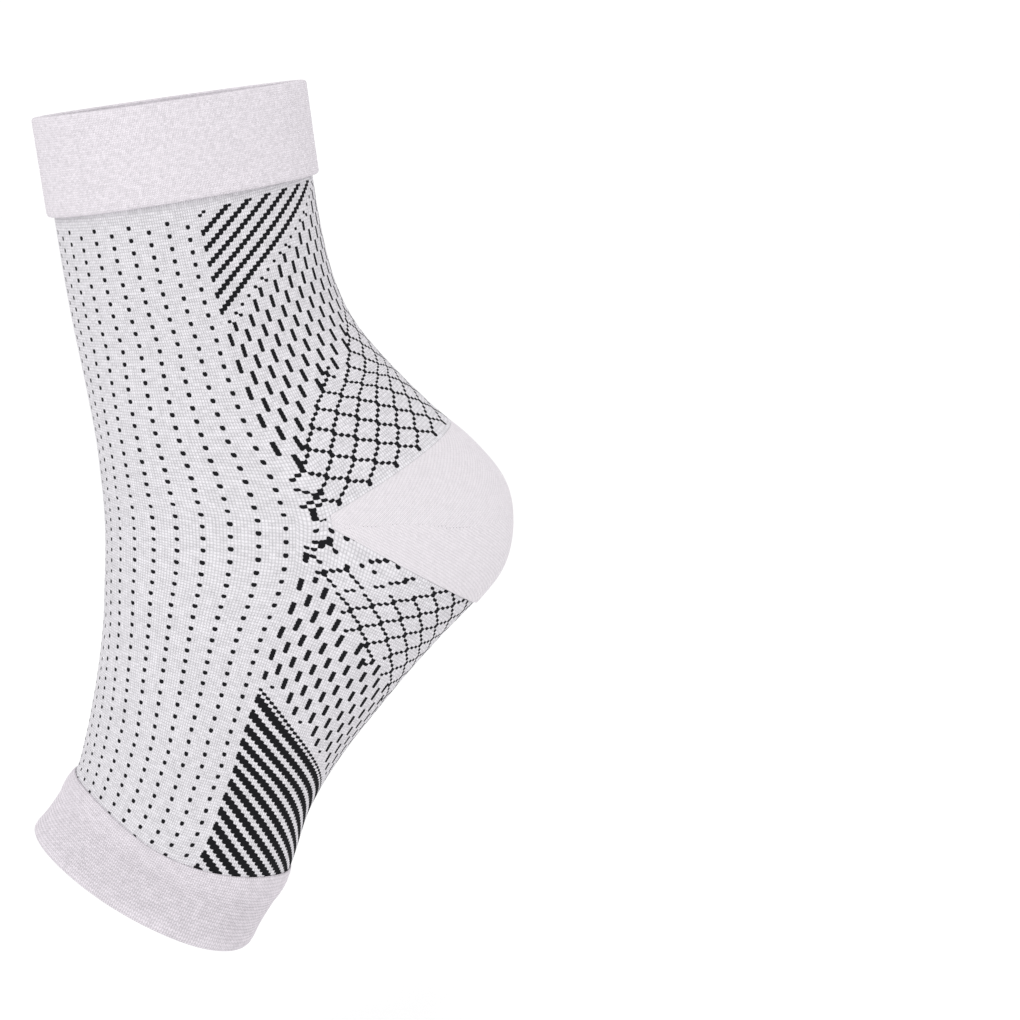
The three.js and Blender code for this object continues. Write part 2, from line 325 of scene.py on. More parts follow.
def knit_place(wale, course):
    """Where the knit's wale and course lie: percent of the way round, and front height."""
    wale, course = np.broadcast_arrays(np.asarray(wale, float), np.asarray(course, float))
    table = np.array(COURSES, float)
    front, mid, near, side, turn, crowd, drift, spread, lead = (
        np.interp(course, table[:, 0], table[:, k]) for k in range(1, 10)
    )
    u = np.minimum(wale / SIDE_WALE, 1)
    stations = (0.0, 0.5, 0.85, 1.0)
    height = 0
    for i, value in enumerate((front, mid, near, side)):
        share = value
        for j, station in enumerate(stations):
            if j != i:
                share = share * (u - station) / (stations[i] - station)
        height = height + share
    back = wale - SIDE_WALE
    t = np.clip(back / BACK_WALES, 0, 1)
    push = lead * (1 - np.exp(-(np.maximum(back, 0) / LEAD_WALES) ** 2)) * (1 - t ** 3)
    way_back = turn + (100 - turn) * (t + spread * t * t * (1 - t)) + push
    way = np.where(t > 0, way_back, turn * (u + crowd * u * (1 - u) ** 1.5))
    top, sole = seams(way_back)
    ease = np.clip(t / SEAM_EASE, 0, 1)
    rise = top - SIDE_HEIGHTS[HEEL_TOP_COURSE]
    fade = np.exp(-np.abs(HEEL_TOP_COURSE - course) / FADE_ABOVE)
    above = np.maximum(rise, 0) * drift + np.minimum(rise, 0) * ease * fade
    behind = t * BACK_WALES
    run = behind - behind ** 5 / (5 * BACK_WALES ** 4)
    first = SIDE_HEIGHTS[HEEL_SOLE_COURSE] - DRIFTS[HEEL_SOLE_COURSE] * run
    fade = np.exp(-(course - HEEL_SOLE_COURSE) / FADE_BELOW)
    below = -drift * run + (sole - first) * ease * fade
    upper = course < (HEEL_TOP_COURSE + HEEL_SOLE_COURSE) / 2
    height = height + np.where(t > 0, np.where(upper, above, below), 0)
    return way, height


def chance(wale, course):
    """A number from 0 to 1 for each stitch, with no order to be seen in it."""
    value = np.sin(wale * 12.99 + course * 78.23) * 4375.85
    return value - np.floor(value)


def black_stitches(wale, course):
    """How much black yarn the stitch at a wale and course shows, from 0 to 1."""
    wale, course = np.broadcast_arrays(np.asarray(wale), np.asarray(course))
    black = np.zeros(wale.shape)

    # Dots over the shin and the instep, on every fourth wale; they fade where the ankle bends.
    shift = np.where(wale % 8 == 2, 1, 3)
    dots = (wale < FRONT_WALES) & (wale % 4 == 2) & (course >= 5) & (course < LAST_COURSE)
    black[dots & ((course - shift) % 4 == 0)] = 1
    bend = (course > 90) & (course < 128)
    black = np.where(dots & bend, black * (0.6 + 0.4 * chance(wale, course)), black)

    back = wale - FRONT_WALES
    rising = course + back
    falling = course - back

    # Slanting stripes under the cuff, with a thin broken one below them.
    leg = (back >= 1) & (course >= 3) & (course <= 94)
    black[leg & (rising <= 35) & (rising % 5 == 0)] = 1
    black[leg & (rising <= 36) & (rising > 8) & (rising % 5 == 1)] = 0.55
    black[leg & (rising == 40) & (back % 2 == 0)] = 0.8

    # Staggered dashes, and the diamonds that lie against the heel.
    edge = 85 - back * 4 / 3 + np.where(back > 19, 8, 0)
    stagger = 4 * ((back // 2) % 2)
    phase = (course - 42 - stagger) % 8
    dash = (back % 2 == 1) & (phase < 4) & (course - phase + 2.5 < edge)
    black[leg & (rising > 41) & dash] = 1
    diamonds(black, leg & (course >= edge - 0.7), back, course, 0, 5)

    # The same over the foot, with wider stripes toward the toes.
    foot = (back >= 1) & (course >= HEEL_SOLE_COURSE) & (course < LAST_COURSE)
    stripe = (209 - falling) % 5
    striped = foot & (falling >= 152) & (falling <= 214)
    black[striped & (stripe < 2)] = 1
    black[striped & (stripe == 2)] = 0.45
    black[foot & (falling == 150)] = 0.7
    limit = 109 + 2 * (back - 3)
    limit = np.where(back > 13, 125.5 + 2 * (back - 15), limit)
    limit = np.where(back > 19, 129.5 + 2 * (back - 21), limit)
    limit = np.where(back > 25, 133.5 + 2 * (back - 27), limit)
    phase = (course - 113 - stagger) % 8
    dash = (back % 2 == 1) & (phase < 4) & (course - phase + 1.5 > limit)
    black[foot & (falling < 147) & dash] = 1
    diamonds(black, foot & (course < limit - 1), back, course, 1, 0)

    # Many stitches of the first diamonds of the foot are lost or small.
    worn = foot & (course < 113) & (rising < 122)
    kept = chance(wale, course) < 0.62
    black = np.where(worn, np.where(kept, black * 0.8, 0.0), black)
    for at_back, at_course in KNOT:
        black[(back == at_back) & (course == at_course)] = 0.85
    return black


def yarn_fill(wale, course, spot, line):
    """How full of black yarn a stitch's corner is.

    It is 0 in plain yarn. In a black stitch it runs from 1, with black in the stitch's middle
    alone, to 2, with black up to the corner, and a weak stitch has less. wale and course
    name the stitch; spot and line say where the corner is.
    """
    past = course + np.where(line > course, 1, -1)
    side = np.rint(2 * spot - wale).astype(int)
    near = [(side, course), (wale, past), (side, past)]
    beside, over, across = (stitch_at(w, c) > LEAST_BLACK for w, c in near)
    count = 1 * beside + over + across
    fill = np.choose(count, CORNER_FILLS)
    fill = np.where(across & (count == 1), LONE_ACROSS, fill)
    fill = np.where(side == wale, np.where(over, ENDS[1], ENDS[0]), fill)
    own = stitch_at(wale, course)
    return np.where(own > 0, 1 + fill - (1 - own) * WEAK_LOSS, 0.0)


def stitch_at(wale, course):
    """The black yarn of a stitch on either side of the foot."""
    wale = np.abs(wale)
    wale = np.where(wale > HALF_WALES, 2 * HALF_WALES - wale, wale)
    return black_stitches(wale, course)


def diamonds(black, zone, back, course, first, start):
    """Draws a lattice of diamonds, six wales wide and eight courses high, over a zone."""
    group = (back - first) // 3
    place = (back - first) % 3
    step = (course - start - 4 * (group % 2)) % 8
    black[zone & (place == 0) & (step < 2)] = 1
    black[zone & (place == 1) & (step == 7)] = 1
    black[zone & (place == 2) & (step == 6)] = 1
    black[zone & (place == 1) & (step == 2)] = 0.95
    black[zone & (place == 2) & (step == 3)] = 0.85


# Meshes


def grid(bm, columns, rows):
    """Adds a grid, and returns its points with their column and row numbers."""
    made = bmesh.ops.create_grid(bm, x_segments=columns, y_segments=rows, size=0.5)
    spots = np.array([v.co[:2] for v in made["verts"]])
    column = np.rint((spots[:, 0] + 0.5) * columns).astype(int)
    row = np.rint((spots[:, 1] + 0.5) * rows).astype(int)
    return made["verts"], column, row


def move(points, places):
    """Puts each point of a grid at its place, given in millimetres."""
    for point, place in zip(points, places * MM):
        point.co = place


def both_sides(place, sign):
    """Mirrors the places whose sign is negative to the other side of the foot."""
    place = place.copy()
    place[..., 1] *= np.where(sign < 0, -1, 1)
    return place


def write_stitches(bm, faces, wales, courses):
    """Writes the stitch numbers to the faces' corners as a UV map, before seams are merged."""
    layer = bm.loops.layers.uv.verify()
    for face in faces:
        for corner in face.loops:
            k = corner.vert.index
            corner[layer].uv = (wales[k], courses[k])


def dot_reach(wale, course):
    """How far, in courses, the black dots of the front press the lines of the knit apart."""
    left = np.floor(wale + 0.5).astype(int)
    right = np.ceil(wale - 0.5).astype(int)
    line = np.rint(course).astype(int)
    over = np.maximum(stitch_at(left, line - 1), stitch_at(right, line - 1))
    under = np.maximum(stitch_at(left, line), stitch_at(right, line))
    return np.where(np.abs(wale) < FRONT_WALES, DOT_PRESS * over - DOT_PRESS * under, 0.0)


def write_black_yarn(bm, wales, courses):
    """Writes to the faces' corners how full of black yarn the stitches are there."""
    layer = bm.loops.layers.float["black_yarn"]
    faces = list(bm.faces)
    points = np.array([[corner.vert.index for corner in face.loops] for face in faces])
    spot = wales[points]
    line = np.rint(courses[points]).astype(int)
    wale = np.rint(spot.mean(axis=1, keepdims=True)).astype(int)
    course = line.min(axis=1, keepdims=True)
    fill = yarn_fill(*np.broadcast_arrays(wale, course, spot, line))
    for face, amounts in zip(faces, fill):
        for corner, amount in zip(face.loops, amounts):
            corner[layer] = amount


def new_piece(bm, name, material):
    """Makes the finished mesh an object of the scene."""
    mesh = bpy.data.meshes.new(name)
    bm.to_mesh(mesh)
    bm.free()
    mesh.polygons.foreach_set("use_smooth", [True] * len(mesh.polygons))
    piece = bpy.data.objects.new(name, mesh)
    mesh.materials.append(material)
    bpy.context.scene.collection.objects.link(piece)
    return piece


def open_rims(edges):
    """The separate rims among the edges that have a face on one side only."""
    left = {e for e in edges if e.is_boundary}
    rims = []
    while left:
        stack = [left.pop()]
        rim = []
        while stack:
            edge = stack.pop()
            rim.append(edge)
            for vert in edge.verts:
                for other in vert.link_edges:
                    if other in left:
                        left.remove(other)
                        stack.append(other)
        rims.append(rim)
    return rims


def beside_heel(height, way, wale, course):
    """The body's heights, with the points round the heel's opening held to its seams."""
    top, sole = seams(way)
    reached = np.abs(wale) >= HEEL_WALE
    height = np.where(reached & (course <= HEEL_TOP_COURSE), np.maximum(height, top), height)
    height = np.where(reached & (course >= HEEL_SOLE_COURSE), np.minimum(height, sole), height)
    height = np.where(reached & (course == HEEL_TOP_COURSE), top, height)
    return np.where(reached & (course == HEEL_SOLE_COURSE), sole, height)


def over_heel(bm):
    """The faces between the heel's two seams, which the opening takes away."""
    layer = bm.loops.layers.uv.verify()
    found = []
    for face in bm.faces:
        wales = [abs(corner[layer].uv[0]) for corner in face.loops]
        courses = [corner[layer].uv[1] for corner in face.loops]
        ends = (min(courses), max(courses))
        if ends == (HEEL_TOP_COURSE, HEEL_SOLE_COURSE) and min(wales) >= HEEL_WALE:
            found.append(face)
    return found


def body_wall(per_wale, per_course, out, relief):
    """One wall of the knitted body, as a tube with an opening for the heel."""
    bm = bmesh.new()
    bm.loops.layers.uv.new("stitches")
    bm.loops.layers.float.new("black_yarn")
    columns = int(2 * HALF_WALES * per_wale)
    above = int(round(HEEL_TOP_COURSE * per_course))
    below = int(round((LAST_COURSE - HEEL_SOLE_COURSE) * per_course))
    course_lines = np.r_[
        np.linspace(0, HEEL_TOP_COURSE, above + 1),
        np.linspace(HEEL_SOLE_COURSE, LAST_COURSE, below + 1),
    ]
    rows = len(course_lines) - 1
    points, column, row = grid(bm, columns, rows)
    wale = column / per_wale - HALF_WALES
    course = course_lines[rows - row]
    rim = (row == 0) | (row == rows)
    rim |= (course == HEEL_TOP_COURSE) | (course == HEEL_SOLE_COURSE)
    middle = np.abs(wale % 1) < 0.25
    tip = np.where(middle, STITCH_TIP, -STITCH_TIP) + dot_reach(wale, course)
    tip = np.where(rim | (relief == 0), 0.0, tip)
    way, height = knit_place(np.abs(wale), course + tip)
    height = beside_heel(height, way, wale, course)
    height = np.where(course == 0, BODY_TOP, height)
    height = np.where(course == LAST_COURSE, BODY_END, height)
    depth = out - np.where(middle | rim, 0.0, relief)
    place = both_sides(skin_point(height, angle_at(height, way), depth), wale)
    move(points, place)
    bm.verts.index_update()
    write_stitches(bm, bm.faces, wale, course)
    if relief:
        write_black_yarn(bm, wale, course)
    bmesh.ops.delete(bm, geom=over_heel(bm), context="FACES")
    bmesh.ops.remove_doubles(bm, verts=list(bm.verts), dist=MERGE)
    return bm


def knitted_body(sizes, material):
    """The single-knit tube from the cuff over the ankle and instep to the toe band."""
    relief = sizes.stitch_relief / MM
    bm = body_wall(per_wale=2, per_course=1, out=0.0, relief=relief)
    lining = body_wall(per_wale=0.5, per_course=0.25, out=-WALL, relief=0.0)
    bmesh.ops.reverse_faces(lining, faces=list(lining.faces))
    spare = bpy.data.meshes.new("lining")
    lining.to_mesh(spare)
    lining.free()
    outer_faces = list(bm.faces)
    bm.from_mesh(spare)
    bpy.data.meshes.remove(spare)
    known = set(outer_faces)
    inner_faces = [f for f in bm.faces if f not in known]
    outer_rims = open_rims({e for f in outer_faces for e in f.edges})
    inner_rims = open_rims({e for f in inner_faces for e in f.edges})
    for edge in {e for rim in outer_rims + inner_rims for e in rim}:
        edge.smooth = False
    for rim in outer_rims:
        middle = rim_middle(rim)
        partner = min(inner_rims, key=lambda other: (rim_middle(other) - middle).length)
        bmesh.ops.bridge_loops(bm, edges=rim + partner)
    bmesh.ops.dissolve_degenerate(bm, dist=1e-7, edges=list(bm.edges))
    return new_piece(bm, "knitted_body", material)


def rim_middle(rim):
    """The mean of the points on a rim."""
    points = {v for e in rim for v in e.verts}
    return sum((v.co for v in points), Vector()) / len(points)


def heel_pocket(sizes, material):
    """The closed heel, knitted as a pocket between the two seams of the body's opening."""
    bm = bmesh.new()
    bm.loops.layers.uv.new("stitches")
    columns, rows = HEEL_GRID
    points, column, row = grid(bm, columns, rows)
    share = 1 - np.abs(column / columns * 2 - 1)
    sign = np.where(column <= columns / 2, 1, -1)
    across = row / rows * 2 - 1
    way = HEEL_START + (100 - HEEL_START) * share
    top, sole = seams(way)
    top = top - HEEL_INSET
    sole = sole + HEEL_INSET
    gore = np.interp(way, SEAM_TURNS, SEAM_GORE)
    gore = gore + GORE_BEND * np.sin(2 * np.pi * np.minimum(share, 0.5))
    room = GORE_ROOM * (top - sole)
    gore = np.clip(gore, sole + room, top - room)
    height = np.where(across > 0, gore + (top - gore) * across, gore + (gore - sole) * across)
    swell = sizes.heel_swell / MM * (1 - across ** 2) * np.sin(np.pi * share / 2) ** 0.5
    edge = np.clip((1 - np.abs(across)) * np.abs(top - sole) / 2 / HEEL_EDGE, 0, 1)
    relief = swell - HEEL_EDGE_DIP * (1 - edge) ** 2
    place = both_sides(skin_point(height, angle_at(height, way), relief), sign)
    move(points, place)
    bm.verts.index_update()
    write_heel_stitches(bm, way / 100 * HALF_ROUND, place[:, 2], across)
    dotted = bm.faces.layers.float.new("black_yarn")
    for face in bm.faces:
        spots = [v.index for v in face.verts]
        on_gore = min(row[k] for k in spots) == rows // 2
        reach = max(share[k] for k in spots)
        if on_gore and reach < GORE_DOTS_END and min(column[k] for k in spots) % 2 == 0:
            face[dotted] = sizes.gore_dots
    bmesh.ops.solidify(bm, geom=list(bm.faces), thickness=WALL * MM)
    for edge in bm.edges:
        edge.smooth = edge.calc_face_angle(0.0) < SHARP
    return new_piece(bm, "heel_pocket_knit", material)


def write_heel_stitches(bm, run, level, across):
    """Stitch numbers of the heel, whose wales slant one way above the gore and back below."""
    layer = bm.loops.layers.uv.verify()
    for face in bm.faces:
        above = sum(across[v.index] for v in face.verts) > 0
        slant = np.radians(UPPER_SLANT if above else LOWER_SLANT)
        flip = 1 if above else -1
        for corner in face.loops:
            k = corner.vert.index
            wale = run[k] * np.sin(slant) + flip * level[k] * np.cos(slant)
            course = run[k] * np.cos(slant) - flip * level[k] * np.sin(slant)
            corner[layer].uv = (wale / HEEL_STITCH[0], course / HEEL_STITCH[1])


def welt(name, outline, around, ribs_per_wale, rib, sag, material, fine):
    """A closed ring round the tube, from an outline of front heights and distances out.

    rib is half the depth of its ribs, sag lowers its upper edge beside the instep, and fine
    says how many stitches go to a wale and to a millimetre of the outline.
    """
    bm = bmesh.new()
    bm.loops.layers.uv.new("stitches")
    heights = np.array([z for z, out, ribbed in outline])
    outs = np.array([out for z, out, ribbed in outline])
    ribs = np.array([ribbed for z, out, ribbed in outline])
    rows = len(outline)
    points, column, row = grid(bm, around, rows)
    k = row % rows
    wale = column / around * 2 * HALF_WALES - HALF_WALES
    share = np.abs(wale) / HALF_WALES
    low, high = heights.min(), heights.max()
    course = 0 if high > 0 else BAND_COURSE
    way, _ = knit_place(np.abs(wale), np.full(wale.shape, course))
    near_top = np.clip((heights[k] - low - SAG_FROM) / (high - low - SAG_FROM), 0, 1)
    across = np.clip((share - SAG_MIDDLE) / SAG_REACH, -1, 1)
    height = heights[k] - sag * near_top * np.cos(np.pi / 2 * across) ** 2
    wave = -np.cos(2 * np.pi * wale * ribs_per_wale)
    out = outs[k] + ribs[k] * rib * wave
    place = both_sides(skin_point(height, angle_at(height, way), out), wale)
    move(points, place)
    bm.verts.index_update()
    run = np.r_[0, np.cumsum(np.hypot(np.diff(heights), np.diff(outs)))]
    run = np.r_[run, run[-1] + np.hypot(heights[0] - heights[-1], outs[0] - outs[-1])]
    write_stitches(bm, bm.faces, wale * fine[0], -run[row] * fine[1])
    bmesh.ops.remove_doubles(bm, verts=list(bm.verts), dist=MERGE)
    return new_piece(bm, name, material)


def rounded(centre_z, centre_out, radius, start, end, steps, ribbed=0.0):
    """Points of a round edge, from one angle to another in degrees."""
    turns = np.radians(np.linspace(start, end, steps))
    return [
        (centre_z + radius * np.sin(a), centre_out + radius * np.cos(a), ribbed) for a in turns
    ]


def straight(start, end, steps, ribbed=0.0):
    """Points between two points of an outline, without its ends."""
    shares = np.linspace(0, 1, steps + 2)[1:-1]
    return [
        (start[0] + (end[0] - start[0]) * s, start[1] + (end[1] - start[1]) * s, ribbed)
        for s in shares
    ]


def cuff_outline(sizes):
    """The cuff's section: a folded welt with a lip that hangs over the body's top."""
    proud = sizes.cuff_proud / MM
    lip = (proud - 0.05) / 2
    low = CUFF_LOW + lip
    inner_end, body_line = CUFF_STEP
    outline = rounded(low, 0.05 + lip, lip, -180, 0, 9)
    outline += straight((low, proud), (LEG_RISE - 1.0, proud), 16)
    outline += rounded(LEG_RISE - 1.0, proud - 1.0, 1.0, 0, 90, 5)
    outline += rounded(LEG_RISE - 0.8, 0.2, 0.8, 90, 180, 5)
    outline += straight((LEG_RISE - 0.8, -0.6), (inner_end, -0.6), 12)
    outline += [(inner_end, -0.6, 0.0), (body_line, 0.05, 0.0)]
    return outline


def band_outline(sizes):
    """The toe band's section: a soft roll at the top, ribs below it and a rolled hem.

    A point's three numbers are its front height, its distance out and its share of the ribs.
    """
    roll = sizes.band_roll / MM
    hem = sizes.band_hem / MM
    outline = rounded(-FOOT_DROP + 0.9, hem - 0.9, 0.9, -90, 0, 5)
    outline += [
        (-87.0, hem, 0.3), (-86.4, hem - 0.1, 0.8), (-85.4, hem - 0.3, 1.0), (-84.0, 0.42, 1.0),
        (-82.5, 0.36, 1.0), (-81.0, 0.36, 1.0), (-79.5, 0.4, 1.0), (-78.0, 0.48, 1.0),
        (-76.8, roll * 0.75, 0.8), (-75.8, roll * 0.9, 0.6), (-74.8, roll, 0.4),
        (-73.8, roll * 0.98, 0.3), (-73.0, roll * 0.8, 0.2), (-72.2, roll * 0.72, 0.1),
        (-71.6, roll * 0.5, 0.0), (-71.2, roll * 0.2, 0.0), (-71.3, 0.05, 0.0),
        (-73.4, 0.03, 0.0), (-76.3, 0.03, 0.0), (-76.8, -WALL, 0.0),
    ]
    outline += straight((-76.8, -WALL), (-87.4, -WALL), 7)
    outline += [(-87.4, -WALL, 0.0), (-88.2, -0.9, 0.0), (-FOOT_DROP, -0.4, 0.0)]
    return outline


# Materials


def math_node(tree, operation, first, second=None, clamp=False):
    """A math node whose inputs are sockets or numbers; returns its output."""
    node = tree.nodes.new("ShaderNodeMath")
    node.operation = operation
    node.use_clamp = clamp
    for k, value in enumerate((first, second)):
        if value is None:
            continue
        if isinstance(value, (int, float)):
            node.inputs[k].default_value = value
        else:
            tree.links.new(value, node.inputs[k])
    return node.outputs[0]


def group_tree(name, inputs, outputs):
    """A shader node group with named sockets, and its input and output nodes."""
    tree = bpy.data.node_groups.new(name, "ShaderNodeTree")
    for label, kind, default in inputs:
        socket = tree.interface.new_socket(name=label, in_out="INPUT", socket_type=kind)
        if default is not None:
            socket.default_value = default
    for label, kind in outputs:
        tree.interface.new_socket(name=label, in_out="OUTPUT", socket_type=kind)
    return tree, tree.nodes.new("NodeGroupInput"), tree.nodes.new("NodeGroupOutput")


def ridges(tree, along, pitch, sharpness):
    """A row of even ridges, from 0 between two of them to 1 on top."""
    wave = math_node(tree, "SINE", math_node(tree, "MULTIPLY", along, pitch))
    return math_node(tree, "POWER", math_node(tree, "ABSOLUTE", wave), sharpness)


def stitch_group():
    """Two slanting legs to each knit stitch, with a shade of its own for each stitch."""
    if "knit_stitches" in bpy.data.node_groups:
        return bpy.data.node_groups["knit_stitches"]
    tree, given, result = group_tree(
        "knit_stitches",
        [("Stitches", "NodeSocketVector", None), ("Slant", "NodeSocketFloat", 0.0)],
        [
            ("Height", "NodeSocketFloat"),
            ("Stitch Shade", "NodeSocketFloat"),
            ("Middle", "NodeSocketFloat"),
        ],
    )
    split = tree.nodes.new("ShaderNodeSeparateXYZ")
    tree.links.new(given.outputs["Stitches"], split.inputs[0])
    wale = split.outputs[0]
    course = split.outputs[1]
    half = math_node(tree, "ADD", wale, 0.5)
    whole = math_node(tree, "FLOOR", half)
    off = math_node(tree, "SUBTRACT", wale, whole)
    away = math_node(tree, "ABSOLUTE", off)
    lift = math_node(tree, "MULTIPLY", away, 2.0)
    lift = math_node(tree, "MULTIPLY", lift, given.outputs["Slant"])
    line = math_node(tree, "ADD", course, lift)
    legs = ridges(tree, wale, 2 * np.pi, LEG_SHARPNESS)
    loops = ridges(tree, line, np.pi, LOOP_SHARPNESS)
    tree.links.new(math_node(tree, "MULTIPLY", legs, loops), result.inputs["Height"])
    sideways = math_node(tree, "POWER", away, 2.0)
    lengthways = math_node(tree, "SUBTRACT", math_node(tree, "FRACT", course), 0.5)
    lengthways = math_node(tree, "POWER", math_node(tree, "ABSOLUTE", lengthways), 2.0)
    sideways = math_node(tree, "MULTIPLY", sideways, DOT_NARROWS)
    lengthways = math_node(tree, "MULTIPLY", lengthways, DOT_SHORTENS)
    middle = math_node(tree, "SUBTRACT", 1.0, sideways)
    middle = math_node(tree, "SUBTRACT", middle, lengthways)
    tree.links.new(middle, result.inputs["Middle"])
    cell = tree.nodes.new("ShaderNodeCombineXYZ")
    tree.links.new(whole, cell.inputs[0])
    tree.links.new(math_node(tree, "FLOOR", line), cell.inputs[1])
    noise = tree.nodes.new("ShaderNodeTexWhiteNoise")
    noise.noise_dimensions = "3D"
    tree.links.new(cell.outputs[0], noise.inputs["Vector"])
    tree.links.new(noise.outputs["Value"], result.inputs["Stitch Shade"])
    return tree


def yarn_group():
    """Fine fibres and a faint heather, in the piece's own coordinates."""
    if "yarn_fuzz" in bpy.data.node_groups:
        return bpy.data.node_groups["yarn_fuzz"]
    tree, given, result = group_tree(
        "yarn_fuzz",
        [("Position", "NodeSocketVector", None)],
        [("Fibre", "NodeSocketFloat"), ("Heather", "NodeSocketFloat")],
    )
    for label, scale, detail in (("Fibre", 3600.0, 2.0), ("Heather", 1400.0, 3.0)):
        noise = tree.nodes.new("ShaderNodeTexNoise")
        noise.inputs["Scale"].default_value = scale
        noise.inputs["Detail"].default_value = detail
        tree.links.new(given.outputs["Position"], noise.inputs["Vector"])
        tree.links.new(noise.outputs[0], result.inputs[label])
    return tree


def dyed(tree, plain, black, middle):
    """The plain colour, with the stitches that hold black yarn dyed and rounded off."""
    layer = tree.nodes.new("ShaderNodeAttribute")
    layer.attribute_name = "black_yarn"
    fill = math_node(tree, "SUBTRACT", layer.outputs["Fac"], 1.0)
    empty = math_node(tree, "SUBTRACT", 1.0, math_node(tree, "ADD", fill, 0.0, clamp=True))
    round_off = math_node(tree, "MULTIPLY", empty, middle)
    edge = tree.nodes.new("ShaderNodeMapRange")
    edge.interpolation_type = "SMOOTHSTEP"
    edge.inputs["From Min"].default_value = BLACK_EDGE[0]
    edge.inputs["From Max"].default_value = BLACK_EDGE[1]
    tree.links.new(math_node(tree, "ADD", fill, round_off), edge.inputs["Value"])
    mix = tree.nodes.new("ShaderNodeMix")
    mix.data_type = "RGBA"
    tree.links.new(edge.outputs["Result"], mix.inputs["Factor"])
    tree.links.new(plain, mix.inputs["A"])
    mix.inputs["B"].default_value = (*black, 1)
    return mix.outputs["Result"]


def knit_material(name, colour, shade, slant, depth, mottle, speckle, black=None):
    """Knitted yarn: stitches as bump and as painted shade in their furrows, heather, and black
    stitches where given.

    shade is the colour of the furrows, painted shade where the stitches' height is low; mottle and
    speckle say how much of it comes from the heather and from the stitches' own shades; depth is the
    stitches' in metres.
    """
    material = bpy.data.materials.new(name)
    material.use_nodes = True
    tree = material.node_tree
    nodes = tree.nodes
    links = tree.links
    surface = nodes["Principled BSDF"]
    surface.inputs["Roughness"].default_value = 0.92
    surface.inputs["Specular IOR Level"].default_value = 0.08
    uv = nodes.new("ShaderNodeUVMap")
    uv.uv_map = "stitches"
    stitches = nodes.new("ShaderNodeGroup")
    stitches.node_tree = stitch_group()
    stitches.inputs["Slant"].default_value = slant
    links.new(uv.outputs[0], stitches.inputs["Stitches"])
    place = nodes.new("ShaderNodeTexCoord")
    yarn = nodes.new("ShaderNodeGroup")
    yarn.node_tree = yarn_group()
    links.new(place.outputs["Object"], yarn.inputs["Position"])
    height = stitches.outputs["Height"]
    # Painted shade: the base colour goes toward the furrow colour where the stitches' height is low,
    # between wales and between courses.
    ground = nodes.new("ShaderNodeMix")
    ground.data_type = "RGBA"
    ground.inputs["A"].default_value = (*shade, 1)
    ground.inputs["B"].default_value = (*colour, 1)
    wanted = math_node(tree, "MULTIPLY", height, 1 - mottle - speckle)
    heather = math_node(tree, "MULTIPLY", yarn.outputs["Heather"], mottle * HEATHER_GAIN)
    wanted = math_node(tree, "ADD", wanted, heather)
    random = math_node(tree, "MULTIPLY", stitches.outputs["Stitch Shade"], speckle)
    wanted = math_node(tree, "ADD", wanted, random, clamp=True)
    links.new(wanted, ground.inputs["Factor"])
    colour_out = ground.outputs["Result"]
    if black is not None:
        colour_out = dyed(tree, colour_out, black, stitches.outputs["Middle"])
    links.new(colour_out, surface.inputs["Base Color"])
    fibre = math_node(tree, "MULTIPLY", yarn.outputs["Fibre"], FIBRE_DEPTH)
    relief = math_node(tree, "ADD", height, fibre)
    bump = nodes.new("ShaderNodeBump")
    bump.inputs["Strength"].default_value = 0.8
    bump.inputs["Distance"].default_value = depth
    links.new(relief, bump.inputs["Height"])
    links.new(bump.outputs["Normal"], surface.inputs["Normal"])
    return material


# Settings


class SockSizes(PropertyGroup):
    """Sizes of the knit that a user may change; the worn shape comes from the model."""

    stitch_relief: FloatProperty(
        name="Stitch relief", description="How deep the furrow between two wales lies",
        default=0.00012, min=0.0, max=0.0006, precision=5, unit="LENGTH",
    )
    cuff_proud: FloatProperty(
        name="Cuff proud", description="How far the cuff stands out of the body",
        default=0.002, min=0.0012, max=0.004, precision=4, unit="LENGTH",
    )
    band_roll: FloatProperty(
        name="Band roll", description="How far the roll at the top of the toe band stands out",
        default=0.0011, min=0.0003, max=0.003, precision=4, unit="LENGTH",
    )
    band_hem: FloatProperty(
        name="Band hem", description="How far the toe band's rolled hem stands out",
        default=0.0009, min=0.0003, max=0.003, precision=4, unit="LENGTH",
    )
    band_rib: FloatProperty(
        name="Band rib", description="Half the depth of the toe band's ribs",
        default=0.00013, min=0.0, max=0.0004, precision=5, unit="LENGTH",
    )
    band_sag: FloatProperty(
        name="Band sag", description="How much lower the toe band's upper edge lies beside the instep",
        default=0.0027, min=0.0, max=0.004, precision=4, unit="LENGTH",
    )
    heel_swell: FloatProperty(
        name="Heel swell", description="How far the heel pocket is rounded out by the heel",
        default=0.0004, min=0.0, max=0.003, precision=4, unit="LENGTH",
    )
    gore_dots: FloatProperty(
        name="Gore dots", description="How full the dots along the heel's middle line are",
        default=0.32, min=0.0, max=1.0, subtype="FACTOR",
    )
    band_columns: IntProperty(
        name="Band columns", description="Columns of faces round the toe band",
        default=672, min=168, max=1008,
    )


def tint(name, description, default):
    """A colour that a user may change."""
    return FloatVectorProperty(
        name=name, description=description, default=default, subtype="COLOR", size=3,
        min=0.0, max=1.0,
    )


class SockColours(PropertyGroup):
    """Colours of the yarns."""

    body: tint("Body", "Plain yarn of the body", (0.88, 0.86, 0.9))
    cuff: tint("Cuff", "Yarn of the cuff", (0.94, 0.89, 0.945))
    heel: tint("Heel", "Yarn of the heel pocket", (0.87, 0.83, 0.87))
    band: tint("Toe band", "Yarn of the toe band", (0.84, 0.79, 0.845))
    black: tint("Black yarn", "Yarn of the dots, stripes and diamonds", (0.012, 0.012, 0.014))
    floor: tint("Floor", "Colour of the studio floor", (0.95, 0.95, 0.95))


def furrow_shade_colour(colour, share):
    """The same colour with less light, painted as shade in the furrows of the knit."""
    return tuple(c * share for c in colour)


# Operators


